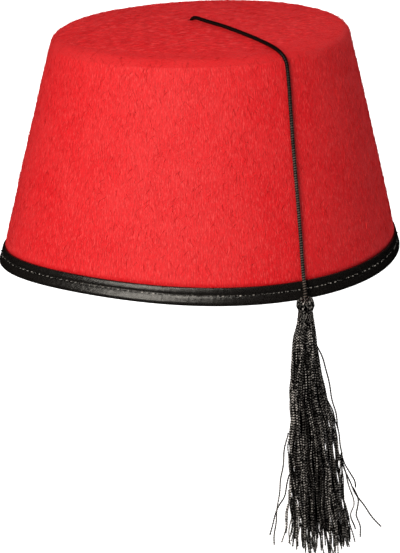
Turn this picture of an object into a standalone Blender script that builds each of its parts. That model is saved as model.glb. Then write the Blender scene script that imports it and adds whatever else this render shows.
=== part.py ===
"""A felt fez with a bound rim and a long tassel on a wound cord, at its real size.

Metres, +Z up. The origin is the middle of the rim's opening, on the mean level of the binding's lower edge.
The narrower end of the oval is the front and faces -Y, so +X is the wearer's left, where the tassel hangs.
A bearing is an angle round the hat, in degrees from +X towards +Y.
"""
import math
from collections import namedtuple

import bpy
import bmesh
from mathutils import Vector

# Felt crown, measured on its outside
RIM_LENGTH = 0.2074
RIM_WIDTH = 0.1726
TOP_LENGTH = 0.1514
TOP_WIDTH = 0.1270
SIDE_HEIGHT = 0.1200
TOP_SHIFT = 0.0037
TOP_DOME = 0.0044
EDGE_RADIUS = 0.0060
FELT = 0.0020

# Binding, a tape folded over the felt's lower edge
TAPE = 0.0010
TAPE_HEIGHT = 0.0090
TAPE_PROUD = 0.0008

# Clearances
GAP = 0.0003
HOLE_SLACK = 0.0007

# Cord and its knot
CORD = 0.0020
KNOT_WIDTH = 0.0070
KNOT_HEIGHT = 0.0045

# Tassel
HEAD_LENGTH = 0.0068
HEAD_WIDTH = 0.0092
NECK_LENGTH = 0.0055
NECK_WIDTH = 0.0051
WRAP = 0.0008
WRAP_ROUNDING = 0.35
SKIRT_LENGTH = 0.1260
SKIRT_WIDTH = 0.0320
SKIRT_DEPTH = 0.0270
LOCK_WIDTH = 0.0056
LOCK_WAVE = 0.0006
LOCK_WAVE_PACE = 9.0
LOCK_STRAY = 0.2
LOCKS = 16
HEM_RAGGED = 0.09

# Facets round the hat, the turned pieces, one lock and the knot, and along the bends of a section
AROUND = 72
TURNED = 16
LOCK_SIDES = 7
KNOT_SIDES = 12
KNOT_ROWS = 6
FOLD_STEPS = 4
EDGE_STEPS = 5

# Rings of the side, as shares of its height, and of the top's outside and inside, as shares of its width
SIDE_RING_SHARES = (0.36, 0.64)
TOP_OUTSIDE_SHARES = (0.78, 0.52, 0.26, 0.0)
TOP_INSIDE_SHARES = (0.70, 0.35, 0.0)

# A step that spreads repeats evenly without a visible order
GOLDEN = 0.618

# How the oval differs from an ellipse: a share of its radius at the rim and at the top
Wave = namedtuple("Wave", "name count at_rim at_top crest")
OVAL_WAVES = (
    Wave("egg", 3, 0.016, 0.016, 26),
    Wave("drawn_ends", 4, 0.011, 0.0, 0),
)

# How the rim and the top are out of level: a share of the side's height
LEVEL_WAVES = (
    Wave("rim_tilt", 1, 0.010, 0.0, -4),
    Wave("rim_saddle", 2, 0.019, 0.0, -50),
    Wave("top_tilt", 1, 0.0, 0.012, -139),
)

# The tassel's outline: shares of the skirt's length, half width and length
Section = namedtuple("Section", "drop half_width lean")
SKIRT = (
    Section(0.00, 0.20, 0.000),
    Section(0.02, 0.29, -0.002),
    Section(0.08, 0.40, -0.004),
    Section(0.24, 0.53, -0.002),
    Section(0.42, 0.73, 0.014),
    Section(0.60, 0.87, 0.024),
    Section(0.80, 0.95, 0.036),
    Section(1.00, 1.00, 0.048),
)

# One lock: shares of its own length and of its width
Girth = namedtuple("Girth", "drop width")
LOCK = (
    Girth(0.00, 0.30),
    Girth(0.06, 0.42),
    Girth(0.20, 0.60),
    Girth(0.42, 0.85),
    Girth(0.62, 1.00),
    Girth(0.82, 1.04),
    Girth(0.94, 0.90),
    Girth(1.00, 0.55),
)

# The head's outline: shares of its length and of its width
HEAD = (
    Girth(0.00, 0.30),
    Girth(0.06, 0.56),
    Girth(0.18, 0.82),
    Girth(0.38, 1.00),
    Girth(0.60, 0.97),
    Girth(0.82, 0.78),
)

# How far down the skirt the packed threads in its middle reach, and where they close
MIDDLE_DROPS = (0.02, 0.08, 0.24, 0.42, 0.60, 0.76, 0.89)
MIDDLE_END = 0.92

# The cord's way, from under the top, out of the hole, over the edge and down to the tassel's head
ROUTE = (
    (-0.00131, -0.00215, 0.12160),
    (-0.00111, -0.00200, 0.12304),
    (-0.00044, -0.00152, 0.12441),
    (0.00066, -0.00073, 0.12541),
    (0.0021, 0.0003, 0.1258),
    (0.0060, 0.0031, 0.1256),
    (0.0099, 0.0059, 0.1253),
    (0.0170, 0.0111, 0.1249),
    (0.0245, 0.0164, 0.1242),
    (0.0318, 0.0216, 0.1233),
    (0.0393, 0.0267, 0.1223),
    (0.0472, 0.0316, 0.1211),
    (0.0536, 0.0349, 0.1200),
    (0.0568, 0.0364, 0.1191),
    (0.0585, 0.0377, 0.1177),
    (0.0595, 0.0387, 0.1157),
    (0.0600, 0.0393, 0.1132),
    (0.0603, 0.0395, 0.1108),
    (0.0612, 0.0398, 0.1060),
    (0.0649, 0.0403, 0.0867),
    (0.0686, 0.0409, 0.0673),
    (0.0723, 0.0417, 0.0478),
    (0.0759, 0.0424, 0.0281),
    (0.0782, 0.0427, 0.0160),
    (0.0790, 0.0428, 0.0125),
    (0.0798, 0.0429, 0.0100),
    (0.0807, 0.0430, 0.0079),
    (0.0816, 0.0430, 0.0062),
    (0.0825, 0.0431, 0.0046),
    (0.0833, 0.0431, 0.0032),
    (0.0838, 0.0430, 0.0020),
    (0.0840, 0.0430, 0.0008),
)
ROUTE_STEPS = 2
HOLE_ROW = 2


def clear_scene():
    """Removes every object, so the model starts from nothing."""
    for thing in list(bpy.data.objects):
        bpy.data.objects.remove(thing, do_unlink=True)


def blend(start, end, share):
    return start + (end - start) * share


def look_up(table, column, drop):
    """Reads a column of a table between two rows, by the share of the way down."""
    for upper, lower in zip(table, table[1:]):
        if drop <= lower.drop:
            share = (drop - upper.drop) / (lower.drop - upper.drop)
            return blend(getattr(upper, column), getattr(lower, column), share)
    return getattr(table[-1], column)


def ripple(waves, bearing, share):
    """Sums a table of waves at a bearing, with share 0 at the rim and 1 at the top."""
    return sum(
        blend(wave.at_rim, wave.at_top, share) * math.cos(wave.count * math.radians(bearing - wave.crest))
        for wave in waves
    )


def hat_point(bearing, height, inset=0.0, shrink=1.0):
    """A point of the hat at a height: on the side's oval, moved in by inset, then drawn in by shrink."""
    share = min(height / SIDE_HEIGHT, 1.0)
    rise = shrink * SIDE_HEIGHT * ripple(LEVEL_WAVES, bearing, share)
    up_side = share + rise / SIDE_HEIGHT
    half_width = blend(RIM_WIDTH, TOP_WIDTH, up_side) / 2 - inset
    half_length = blend(RIM_LENGTH, TOP_LENGTH, up_side) / 2 - inset
    reach = shrink * (1 + ripple(OVAL_WAVES, bearing, share))
    angle = math.radians(bearing)
    x = half_width * math.cos(angle) * reach
    y = half_length * math.sin(angle) * reach + TOP_SHIFT * up_side
    return Vector((x, y, height + rise))


def hat_ring(height, inset=0.0, shrink=1.0):
    if shrink == 0.0:
        return [hat_point(0, height, inset, shrink)]
    return [hat_point(360 * step / AROUND, height, inset, shrink) for step in range(AROUND)]


def mesh_from_rings(name, rings, closed=False):
    """Skins a row of rings. A ring of one point is a pole, and an open row ends in flat caps or in poles."""
    shape = bmesh.new()
    loops = [[shape.verts.new(point) for point in ring] for ring in rings]
    pairs = list(zip(loops, loops[1:]))
    if closed:
        pairs.append((loops[-1], loops[0]))
    for low, high in pairs:
        count = max(len(low), len(high))
        for step in range(count):
            after = (step + 1) % count
            around = [low[step % len(low)], low[after % len(low)]]
            around += [high[after % len(high)], high[step % len(high)]]
            corners = [vert for place, vert in enumerate(around) if vert not in around[:place]]
            shape.faces.new(corners)
    if not closed:
        for loop in (loops[0], loops[-1]):
            if len(loop) > 1:
                shape.faces.new(loop)
    bmesh.ops.recalc_face_normals(shape, faces=shape.faces)
    mesh = bpy.data.meshes.new(name)
    shape.to_mesh(mesh)
    shape.free()
    return mesh


def finish_for(name, colour, roughness, metallic=0.0):
    """A material with the piece's colour, roughness and metallic value."""
    material = bpy.data.materials.new(name)
    material.use_nodes = True
    shader = material.node_tree.nodes["Principled BSDF"]
    shader.inputs["Base Color"].default_value = (*colour, 1.0)
    shader.inputs["Roughness"].default_value = roughness
    shader.inputs["Metallic"].default_value = metallic
    material.diffuse_color = (*colour, 1.0)
    return material


def add_piece(name, data, material=None, sharp_angle=35):
    """Puts a mesh or a curve in the scene as a named piece, shaded smooth between its sharp edges."""
    piece = bpy.data.objects.new(name, data)
    bpy.context.scene.collection.objects.link(piece)
    if material:
        data.materials.append(material)
    if isinstance(data, bpy.types.Mesh):
        data.shade_smooth()
        data.set_sharp_from_angle(angle=math.radians(sharp_angle))
    return piece


def arc(radius, start, end, steps):
    """Points of an arc in a section, as pairs of distance inwards and height from its centre."""
    angles = [math.radians(blend(start, end, step / steps)) for step in range(steps + 1)]
    return [(-radius * math.cos(angle), radius * math.sin(angle)) for angle in angles]


def fold_centre():
    """The middle of the felt's lower edge: how far in from its outside, and its height."""
    return FELT / 2, FELT / 2 + TAPE_PROUD


def pressed():
    """How far the tape presses each face of the felt in."""
    return TAPE + GAP - TAPE_PROUD


def side_lean():
    """How far the side leans in from upright, as the mean of its length and its width."""
    return math.atan((RIM_LENGTH - TOP_LENGTH + RIM_WIDTH - TOP_WIDTH) / 4 / SIDE_HEIGHT)


def top_inset():
    """How far in from the corner of side and top the rounded edge ends."""
    return EDGE_RADIUS * math.tan((math.pi / 2 - side_lean()) / 2)


def edge_rows(radius, steps):
    """The rounded edge between side and top, as rows of height, inset and shrink."""
    rows = []
    for step in range(steps + 1):
        angle = blend(side_lean(), math.pi / 2, step / steps)
        height = SIDE_HEIGHT - EDGE_RADIUS + radius * math.sin(angle)
        side_in = (SIDE_HEIGHT - height) * math.tan(side_lean())
        rows.append((height, side_in + top_inset() - radius * math.cos(angle), 1.0))
    return rows


def top_rows(level, shrinks):
    """The domed top inside its rounded edge."""
    return [(level + TOP_DOME * (1 - shrink ** 2), top_inset(), shrink) for shrink in shrinks]


def crown_rows():
    """The felt's section from the inside of the top, down, round the lower edge and up to the outside."""
    middle_in, middle_height = fold_centre()
    grip_top = TAPE_HEIGHT + GAP
    side_heights = [SIDE_HEIGHT * share for share in SIDE_RING_SHARES]
    outside = [(grip_top, pressed(), 1.0), (grip_top + pressed(), 0.0, 1.0)]
    outside += [(height, 0.0, 1.0) for height in side_heights]
    outside += edge_rows(EDGE_RADIUS, EDGE_STEPS)
    outside += top_rows(SIDE_HEIGHT, TOP_OUTSIDE_SHARES)
    inside = [(grip_top, FELT - pressed(), 1.0), (grip_top + pressed(), FELT, 1.0)]
    inside += [(height, FELT, 1.0) for height in side_heights]
    inside += edge_rows(EDGE_RADIUS - FELT, EDGE_STEPS - 1)
    inside += top_rows(SIDE_HEIGHT - FELT, TOP_INSIDE_SHARES)
    lower_arc = arc(FELT / 2 - pressed(), -180, 0, FOLD_STEPS)
    lower_edge = [(middle_height + rise, middle_in + inward, 1.0) for inward, rise in lower_arc]
    return inside[::-1] + lower_edge + outside


def make_felt_crown(material):
    """One moulded shell of felt, open below, thinner where the tape grips it."""
    rings = [hat_ring(*row) for row in crown_rows()]
    crown = add_piece("felt_crown", mesh_from_rings("felt_crown", rings), material)
    hole = crown.modifiers.new("cord_hole", "BOOLEAN")
    hole.operation = "DIFFERENCE"
    hole.object = make_hole_cutter()
    return crown


def make_hole_cutter():
    """A round bar along the cord's first stretch, which cuts its hole through the top."""
    below, above = Vector(ROUTE[0]), Vector(ROUTE[HOLE_ROW])
    radius = CORD / 2 + HOLE_SLACK
    shape = bmesh.new()
    bmesh.ops.create_cone(
        shape, cap_ends=True, segments=TURNED, radius1=radius, radius2=radius, depth=FELT * 5,
    )
    mesh = bpy.data.meshes.new("cord_hole")
    shape.to_mesh(mesh)
    shape.free()
    cutter = add_piece("cord_hole", mesh)
    cutter.location = (below + above) / 2
    cutter.rotation_mode = "QUATERNION"
    cutter.rotation_quaternion = (above - below).to_track_quat("Z", "Y")
    cutter.hide_render = True
    cutter.display_type = "WIRE"
    return cutter


def make_edge_binding(material):
    """The tape's section is a U that holds the felt's edge, and it follows the rim all round."""
    middle_in, middle_height = fold_centre()
    outer_radius = FELT / 2 + TAPE_PROUD
    inner_radius = outer_radius - TAPE
    outer = arc(outer_radius, 0, -180, FOLD_STEPS)
    inner = arc(inner_radius, -180, 0, FOLD_STEPS)
    section = [(-outer_radius, TAPE_HEIGHT - middle_height)]
    section += outer
    section += [(outer_radius, TAPE_HEIGHT - middle_height), (inner_radius, TAPE_HEIGHT - middle_height)]
    section += inner
    section += [(-inner_radius, TAPE_HEIGHT - middle_height)]
    rings = [hat_ring(middle_height + rise, middle_in + inward) for inward, rise in section]
    return add_piece("edge_binding", mesh_from_rings("edge_binding", rings, closed=True), material)


def smooth_path(points, steps):
    """A curve through the points, with its own pace on each span so that close points make no bulge."""
    points = [Vector(point) for point in points]
    first = points[0] * 2 - points[1]
    last = points[-1] * 2 - points[-2]
    row = [first] + points + [last]
    path = []
    for index in range(1, len(row) - 2):
        before, start, end, after = row[index - 1:index + 3]
        span = (end - start).length
        leave = ((start - before).normalized() * span + (end - start)) / 2
        arrive = ((after - end).normalized() * span + (end - start)) / 2
        for step in range(steps):
            share = step / steps
            square, cube = share ** 2, share ** 3
            path.append(
                start * (2 * cube - 3 * square + 1) + leave * (cube - 2 * square + share)
                + end * (3 * square - 2 * cube) + arrive * (cube - square)
            )
    path.append(points[-1])
    return path


def make_cord(material):
    """A round cord along its route, closed at both ends."""
    data = bpy.data.curves.new("cord", "CURVE")
    data.dimensions = "3D"
    data.bevel_depth = CORD / 2
    data.bevel_resolution = 2
    data.use_fill_caps = True
    path = smooth_path(ROUTE, ROUTE_STEPS)
    spline = data.splines.new("POLY")
    spline.points.add(len(path) - 1)
    for place, point in zip(spline.points, path):
        place.co = (*point, 1.0)
    return add_piece("cord", data, material)


def flat_ring(centre, half_width, half_depth, sides, turn=0.0):
    """A level ring of points round a centre, half_depth along X and half_width along Y."""
    ring = []
    for step in range(sides):
        angle = turn + 2 * math.pi * step / sides
        ring.append(centre + Vector((half_depth * math.cos(angle), half_width * math.sin(angle), 0)))
    return ring


def make_cord_knot(material):
    """A plain round knot under the top, too wide for the hole."""
    top = Vector(ROUTE[0]) - Vector((0, 0, GAP))
    rings = []
    for step in range(KNOT_ROWS + 1):
        angle = math.pi * step / KNOT_ROWS
        half = KNOT_WIDTH / 2 * math.sin(angle) if 0 < step < KNOT_ROWS else 0.0
        centre = top - Vector((0, 0, KNOT_HEIGHT / 2 * (1 - math.cos(angle))))
        rings.append(flat_ring(centre, half, half, KNOT_SIDES) if half else [centre])
    return add_piece("cord_knot", mesh_from_rings("cord_knot", rings), material, sharp_angle=60)


def head_top():
    """The top of the tassel's head, just under the cord's lower end."""
    return Vector(ROUTE[-1]) - Vector((0, 0, GAP))


def skirt_centre(drop):
    """The middle of the skirt at a share of its length."""
    below = HEAD_LENGTH + NECK_LENGTH + SKIRT_LENGTH * drop
    return head_top() + Vector((0, SKIRT_LENGTH * look_up(SKIRT, "lean", drop), -below))


def lock_half_width(own_drop):
    """Half a lock's width at a share of its own length."""
    return LOCK_WIDTH * look_up(LOCK, "width", own_drop) / 2


def lock_length(index):
    """The share of the skirt's length that a lock has: each ends at its own height, so the hem is ragged."""
    return 1.0 - HEM_RAGGED * ((index * GOLDEN) % 1.0)


def make_lock(index):
    """One lock of threads, from inside the neck down the outside of the skirt."""
    phase = 2 * math.pi * GOLDEN * index
    bearing = 2 * math.pi * (index + LOCK_STRAY * math.sin(phase)) / LOCKS
    rings = []
    for girth in LOCK:
        drop = girth.drop * lock_length(index)
        half = lock_half_width(girth.drop)
        reach = look_up(SKIRT, "half_width", drop)
        sway = LOCK_WAVE * math.sin(LOCK_WAVE_PACE * drop + phase)
        out_x = SKIRT_DEPTH / 2 * reach - half
        out_y = SKIRT_WIDTH / 2 * reach - half
        centre = skirt_centre(drop)
        centre += Vector((out_x * math.cos(bearing), out_y * math.sin(bearing), 0))
        centre += Vector((-math.sin(bearing), math.cos(bearing), 0)) * sway
        rings.append(flat_ring(centre, half, half, LOCK_SIDES, phase))
    return add_piece("lock", mesh_from_rings("lock", rings))


def make_tassel_middle():
    """The head, the neck and the packed threads inside the skirt."""
    top = head_top()
    neck = NECK_WIDTH / 2
    levels = [(HEAD_LENGTH * girth.drop, HEAD_WIDTH / 2 * girth.width) for girth in HEAD]
    levels += [(HEAD_LENGTH, neck), (HEAD_LENGTH + NECK_LENGTH, neck)]
    rings = [flat_ring(top - Vector((0, 0, below)), half, half, TURNED) for below, half in levels]
    for drop in MIDDLE_DROPS:
        half = lock_half_width(drop)
        reach = look_up(SKIRT, "half_width", drop)
        half_width = SKIRT_WIDTH / 2 * reach - half
        half_depth = SKIRT_DEPTH / 2 * reach - half
        rings.append(flat_ring(skirt_centre(drop), half_width, half_depth, TURNED))
    rings.append([skirt_centre(MIDDLE_END)])
    return add_piece("tassel", mesh_from_rings("tassel", rings))


def make_tassel(material):
    """The head and the locks fused into one body."""
    tassel = make_tassel_middle()
    locks = [make_lock(index) for index in range(LOCKS)]
    for lock in locks:
        union = tassel.modifiers.new("fuse", "BOOLEAN")
        union.operation = "UNION"
        union.object = lock
    fused = bpy.data.meshes.new_from_object(tassel.evaluated_get(bpy.context.evaluated_depsgraph_get()))
    tassel.modifiers.clear()
    tassel.data = fused
    for lock in locks:
        bpy.data.objects.remove(lock, do_unlink=True)
    fused.materials.clear()
    fused.materials.append(material)
    fused.shade_smooth()
    fused.set_sharp_from_angle(angle=math.radians(50))
    return tassel


def make_neck_wrap(material):
    """Thread wound round the neck, as a ring with softly rounded turns."""
    inner = NECK_WIDTH / 2 + GAP
    tall = NECK_LENGTH - 2 * GAP
    edge = WRAP * (1 - WRAP_ROUNDING)
    section = ((0.0, edge), (0.2, WRAP), (0.8, WRAP), (1.0, edge), (1.0, 0.0), (0.0, 0.0))
    start = head_top() - Vector((0, 0, HEAD_LENGTH + GAP))
    rings = []
    for share, thick in section:
        centre = start - Vector((0, 0, tall * share))
        rings.append(flat_ring(centre, inner + thick, inner + thick, TURNED))
    mesh = mesh_from_rings("tassel_neck_wrap", rings, closed=True)
    return add_piece("tassel_neck_wrap", mesh, material)


def build():
    clear_scene()
    felt = finish_for("felt", (0.62, 0.02, 0.02), 0.95)
    satin = finish_for("binding_satin", (0.012, 0.012, 0.014), 0.42)
    wound = finish_for("cord_thread", (0.015, 0.014, 0.014), 0.50)
    knot = finish_for("knot_thread", (0.015, 0.014, 0.014), 0.55)
    rayon = finish_for("tassel_thread", (0.018, 0.018, 0.018), 0.35)
    wrap = finish_for("wrap_thread", (0.016, 0.016, 0.016), 0.40)
    make_felt_crown(felt)
    make_edge_binding(satin)
    make_cord(wound)
    make_cord_knot(knot)
    make_tassel(rayon)
    make_neck_wrap(wrap)


build()
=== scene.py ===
# %% [markdown]
# # Dressing a felt fez
# This notebook takes the plain solid model of a fez and gives it the looks of the real hat: pressed red
# felt, a stitched satin tape round the rim, a wound black cord and a long tassel of twisted threads. The
# solid model is loaded as a fixed frame. Every piece made here lies where its solid lies and stands for it
# in the picture.

import math
from collections import namedtuple

import bpy
import numpy as np
from mathutils import Matrix, Vector, noise


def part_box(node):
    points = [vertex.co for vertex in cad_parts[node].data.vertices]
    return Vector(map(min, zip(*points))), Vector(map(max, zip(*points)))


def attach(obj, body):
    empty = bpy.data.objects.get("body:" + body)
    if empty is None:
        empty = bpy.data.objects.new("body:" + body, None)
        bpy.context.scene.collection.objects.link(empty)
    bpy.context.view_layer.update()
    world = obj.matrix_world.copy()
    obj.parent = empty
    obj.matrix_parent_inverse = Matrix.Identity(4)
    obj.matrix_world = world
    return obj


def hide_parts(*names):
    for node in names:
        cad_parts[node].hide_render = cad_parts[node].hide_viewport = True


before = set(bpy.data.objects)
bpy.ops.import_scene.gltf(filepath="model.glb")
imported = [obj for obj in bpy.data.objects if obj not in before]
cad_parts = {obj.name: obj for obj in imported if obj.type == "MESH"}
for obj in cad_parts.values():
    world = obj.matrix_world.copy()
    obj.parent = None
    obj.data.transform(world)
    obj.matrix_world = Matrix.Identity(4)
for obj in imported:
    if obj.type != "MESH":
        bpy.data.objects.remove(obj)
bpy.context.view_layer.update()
print("solids:", sorted(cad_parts))

# %% [markdown]
# ## The camera
# The hat was photographed from its left side, a little above the rim, from about 1.2 m away with a long
# lens. A long lens keeps the oval from looking swollen. The camera is turned about its own axis afterwards,
# because the hat stands slightly tilted in the picture.

# %% Camera
EYE = Vector((1.12717, -0.0939, 0.38612))
AIM = Vector((-0.00017, -0.00203, -0.01473))
LENS_MM = 147.15
SENSOR_MM = 36.0
CAMERA_ROLL = 2.04
CLIP_END = 100.0


def new_object(name, data):
    """An object of the scene that shows some data."""
    thing = bpy.data.objects.new(name, data)
    bpy.context.scene.collection.objects.link(thing)
    return thing


def add_camera():
    data = bpy.data.cameras.new("camera")
    data.lens = LENS_MM
    data.sensor_width = SENSOR_MM
    data.clip_end = CLIP_END
    camera = new_object("camera", data)
    turn = (AIM - EYE).to_track_quat("-Z", "Y").to_matrix().to_4x4()
    roll = Matrix.Rotation(-math.radians(CAMERA_ROLL), 4, "Z")
    camera.matrix_world = Matrix.Translation(EYE) @ turn @ roll
    bpy.context.scene.camera = camera


add_camera()
print("camera distance:", round((AIM - EYE).length, 3), "m")

# %% [markdown]
# ## Helpers that turn points into pieces
# Most pieces of a hat are rows of rings: a ring of points for each height or each step of the way. The
# helper joins such rings into quads. It checks the volume that they enclose, and turns the faces round if
# that comes out negative, so that they always point outwards. It also writes a UV map in metres, around and
# along the piece, which a weave or a winding can follow.

# %% Rings to mesh
def skin(name, rings, start_pole=None, end_pole=None, closed=False, around=1.0, along=None):
    """A mesh over equal rings. Poles close its ends, and closed joins the last ring to the first."""
    rings = np.asarray(rings, float)
    rows, columns = rings.shape[:2]
    points = rings.reshape(-1, 3)
    index = np.arange(rows * columns).reshape(rows, columns)
    low, high = (index, np.roll(index, -1, axis=0)) if closed else (index[:-1], index[1:])
    quads = np.stack([low, np.roll(low, -1, axis=1), np.roll(high, -1, axis=1), high], axis=-1).reshape(-1, 4)
    caps = []
    for pole, ring, turned in ((start_pole, index[0], True), (end_pole, index[-1], False)):
        if pole is not None:
            points = np.vstack([points, np.asarray(pole, float)[None]])
            cap = np.stack([ring, np.roll(ring, -1), np.full(columns, len(points) - 1)], axis=-1)
            caps.append(cap[:, ::-1] if turned else cap)
    triangles = np.concatenate([quads[:, [0, 1, 2]], quads[:, [0, 2, 3]], *caps])
    a, b, c = (points[triangles[:, corner]] for corner in range(3))
    if np.einsum("ij,ij->i", a, np.cross(b, c)).sum() < 0:
        quads = quads[:, ::-1]
        caps = [cap[:, ::-1] for cap in caps]
    faces = quads.tolist() + [face for cap in caps for face in cap.tolist()]
    mesh = bpy.data.meshes.new(name)
    mesh.from_pydata(points.tolist(), [], faces)
    write_surface_map(mesh, rows, columns, around, np.arange(rows) / rows if along is None else along)
    mesh.shade_smooth()
    return mesh


def write_surface_map(mesh, rows, columns, around, along):
    """A UV map in metres: across a ring, and along the rings."""
    corner_points = np.empty(len(mesh.loops), int)
    mesh.loops.foreach_get("vertex_index", corner_points)
    starts = np.empty(len(mesh.polygons), int)
    mesh.polygons.foreach_get("loop_start", starts)
    face_of_corner = np.repeat(np.arange(len(starts)), np.diff(np.append(starts, len(corner_points))))
    on_ring = corner_points < rows * columns
    column = np.where(on_ring, corner_points % columns, -1)
    row = np.where(on_ring, corner_points // columns, rows - 1)
    last = np.zeros(len(starts), bool)
    last[face_of_corner[column == columns - 1]] = True
    column = np.where((column == 0) & last[face_of_corner], columns, np.maximum(column, 0))
    layer = mesh.uv_layers.new(name="surface")
    values = np.stack([column / columns * around, np.asarray(along)[row]], axis=-1)
    layer.data.foreach_set("uv", values.ravel())


def show_piece(name, mesh, material):
    """A finished piece in the hat's own frame, riding on the hat's one body."""
    piece = new_object(name, mesh)
    mesh.materials.clear()
    mesh.materials.append(material)
    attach(piece, "root")
    triangles = sum(len(face.vertices) - 2 for face in mesh.polygons)
    print(name, len(mesh.vertices), "points", triangles, "triangles")
    return piece


def evaluated_mesh(thing):
    """A plain mesh of what an object looks like with its modifiers."""
    bpy.context.view_layer.update()
    seen = thing.evaluated_get(bpy.context.evaluated_depsgraph_get())
    return bpy.data.meshes.new_from_object(seen)


def angles_round(count):
    """Equal steps once round a circle."""
    return np.arange(count) * 2 * math.pi / count


# %% [markdown]
# ## Helpers for materials
# Cloth is never one flat colour. Each finish below starts from the Principled shader and adds noise for
# colour and bump. Small functions keep the wiring readable: one adds a node with its settings and links,
# one adds noise at a real size in metres.

# %% Material helpers
def link_inputs(tree, node, inputs):
    """Sets a node's inputs by name or place, each from a value or from another node's output."""
    for key, value in inputs.items():
        socket = node.inputs[key]
        if isinstance(value, bpy.types.NodeSocket):
            tree.links.new(value, socket)
        else:
            socket.default_value = value


def add_node(tree, kind, inputs=None, **settings):
    node = tree.nodes.new(kind)
    for key, value in settings.items():
        setattr(node, key, value)
    link_inputs(tree, node, inputs or {})
    return node


def new_finish(name, roughness, specular):
    """A material with its Principled shader, where what is the same all over is set directly."""
    material = bpy.data.materials.new(name)
    material.use_nodes = True
    shader = material.node_tree.nodes["Principled BSDF"]
    shader.inputs["Roughness"].default_value = roughness
    shader.inputs["Specular IOR Level"].default_value = specular
    return material, material.node_tree, shader


def output_of(tree, kind, inputs=None, **settings):
    """The first output of a new node."""
    return add_node(tree, kind, inputs, **settings).outputs[0]


def noise_of(tree, vector, size, detail=2.0, roughness=0.5):
    """Noise whose grains are about size metres wide."""
    inputs = {"Vector": vector, "Scale": 1 / size, "Detail": detail, "Roughness": roughness}
    return add_node(tree, "ShaderNodeTexNoise", inputs).outputs["Fac"]


def remap(tree, value, low, high, to_low, to_high):
    inputs = {"Value": value, "From Min": low, "From Max": high, "To Min": to_low, "To Max": to_high}
    return output_of(tree, "ShaderNodeMapRange", inputs)


def math_of(tree, operation, first, second=0.0, third=0.0):
    return output_of(tree, "ShaderNodeMath", {0: first, 1: second, 2: third}, operation=operation)


def mix_colours(tree, factor, first, second):
    node = add_node(tree, "ShaderNodeMix", data_type="RGBA")
    link_inputs(tree, node, {"Factor": factor, 6: first, 7: second})
    return node.outputs[2]


def bump_of(tree, height, distance, strength=1.0):
    inputs = {"Height": height, "Distance": distance, "Strength": strength}
    return output_of(tree, "ShaderNodeBump", inputs)


def position_of(tree):
    return add_node(tree, "ShaderNodeTexCoord").outputs["Object"]


def stretched(tree, vector, scale):
    return output_of(tree, "ShaderNodeMapping", {"Vector": vector, "Scale": scale})


def parts_of(tree, vector):
    """The X, Y and Z of a vector, by name."""
    return add_node(tree, "ShaderNodeSeparateXYZ", {0: vector}).outputs


def value_of(tree, label):
    """A value that the mesh keeps at each of its points."""
    return add_node(tree, "ShaderNodeAttribute", attribute_name=label).outputs["Fac"]


# %% [markdown]
# ## The cord's way
# The cord comes up through a small hole near the middle of the top, where a knot holds it from below, lies
# over the top and the rounded edge, and hangs in front of the side down to the tassel. Inside the tassel it
# runs on between the threads that are bound onto it. The points are given, and a smooth curve runs through
# them.

# %% Cord route
CORD = 0.0020
ROUTE = (
    (-0.00131, -0.00215, 0.12160),
    (-0.00111, -0.00200, 0.12304),
    (-0.00044, -0.00152, 0.12441),
    (0.00066, -0.00073, 0.12541),
    (0.0021, 0.0003, 0.1258),
    (0.0060, 0.0031, 0.1256),
    (0.0099, 0.0059, 0.1253),
    (0.0170, 0.0111, 0.1249),
    (0.0245, 0.0164, 0.1242),
    (0.0318, 0.0216, 0.1233),
    (0.0393, 0.0267, 0.1223),
    (0.0472, 0.0316, 0.1211),
    (0.0536, 0.0349, 0.1200),
    (0.0568, 0.0364, 0.1191),
    (0.0585, 0.0377, 0.1177),
    (0.0595, 0.0387, 0.1157),
    (0.0600, 0.0393, 0.1132),
    (0.0603, 0.0395, 0.1108),
    (0.0612, 0.0398, 0.1060),
    (0.0649, 0.0403, 0.0867),
    (0.0686, 0.0409, 0.0673),
    (0.0723, 0.0417, 0.0478),
    (0.0759, 0.0424, 0.0281),
    (0.0782, 0.0427, 0.0160),
    (0.0790, 0.0428, 0.0125),
    (0.0798, 0.0429, 0.0100),
    (0.0807, 0.0430, 0.0079),
    (0.0816, 0.0430, 0.0062),
    (0.0825, 0.0431, 0.0046),
    (0.0833, 0.0431, 0.0032),
    (0.0838, 0.0430, 0.0020),
    (0.0840, 0.0430, 0.0008),
)
INSIDE_TASSEL = (
    (0.0840, 0.0430, -0.0060),
    (0.0840, 0.0429, -0.0180),
    (0.0840, 0.0427, -0.0340),
    (0.0840, 0.0429, -0.0500),
    (0.0840, 0.0443, -0.0650),
    (0.0840, 0.0455, -0.0790),
    (0.0840, 0.0461, -0.0900),
)
RING_STEP = 0.00015
HIDDEN_RING_STEP = 0.0012


def smooth_path(points, step):
    """Points about a step apart on a curve through the given points, with its own pace on each span."""
    points = [Vector(point) for point in points]
    row = [points[0] * 2 - points[1]] + points + [points[-1] * 2 - points[-2]]
    path = []
    for before, start, end, after in zip(row, row[1:], row[2:], row[3:]):
        span = (end - start).length
        leave = ((start - before).normalized() * span + (end - start)) / 2
        arrive = ((after - end).normalized() * span + (end - start)) / 2
        shares = np.arange(0, 1, 1 / max(1, round(span / step)))[:, None]
        square, cube = shares ** 2, shares ** 3
        path.append(
            np.array(start) * (2 * cube - 3 * square + 1) + np.array(leave) * (cube - 2 * square + shares)
            + np.array(end) * (3 * square - 2 * cube) + np.array(arrive) * (cube - square)
        )
    return np.vstack(path + [np.array(points[-1])[None]])


def distances_along(path):
    return np.concatenate([[0.0], np.cumsum(np.linalg.norm(np.diff(path, axis=0), axis=1))])


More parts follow.
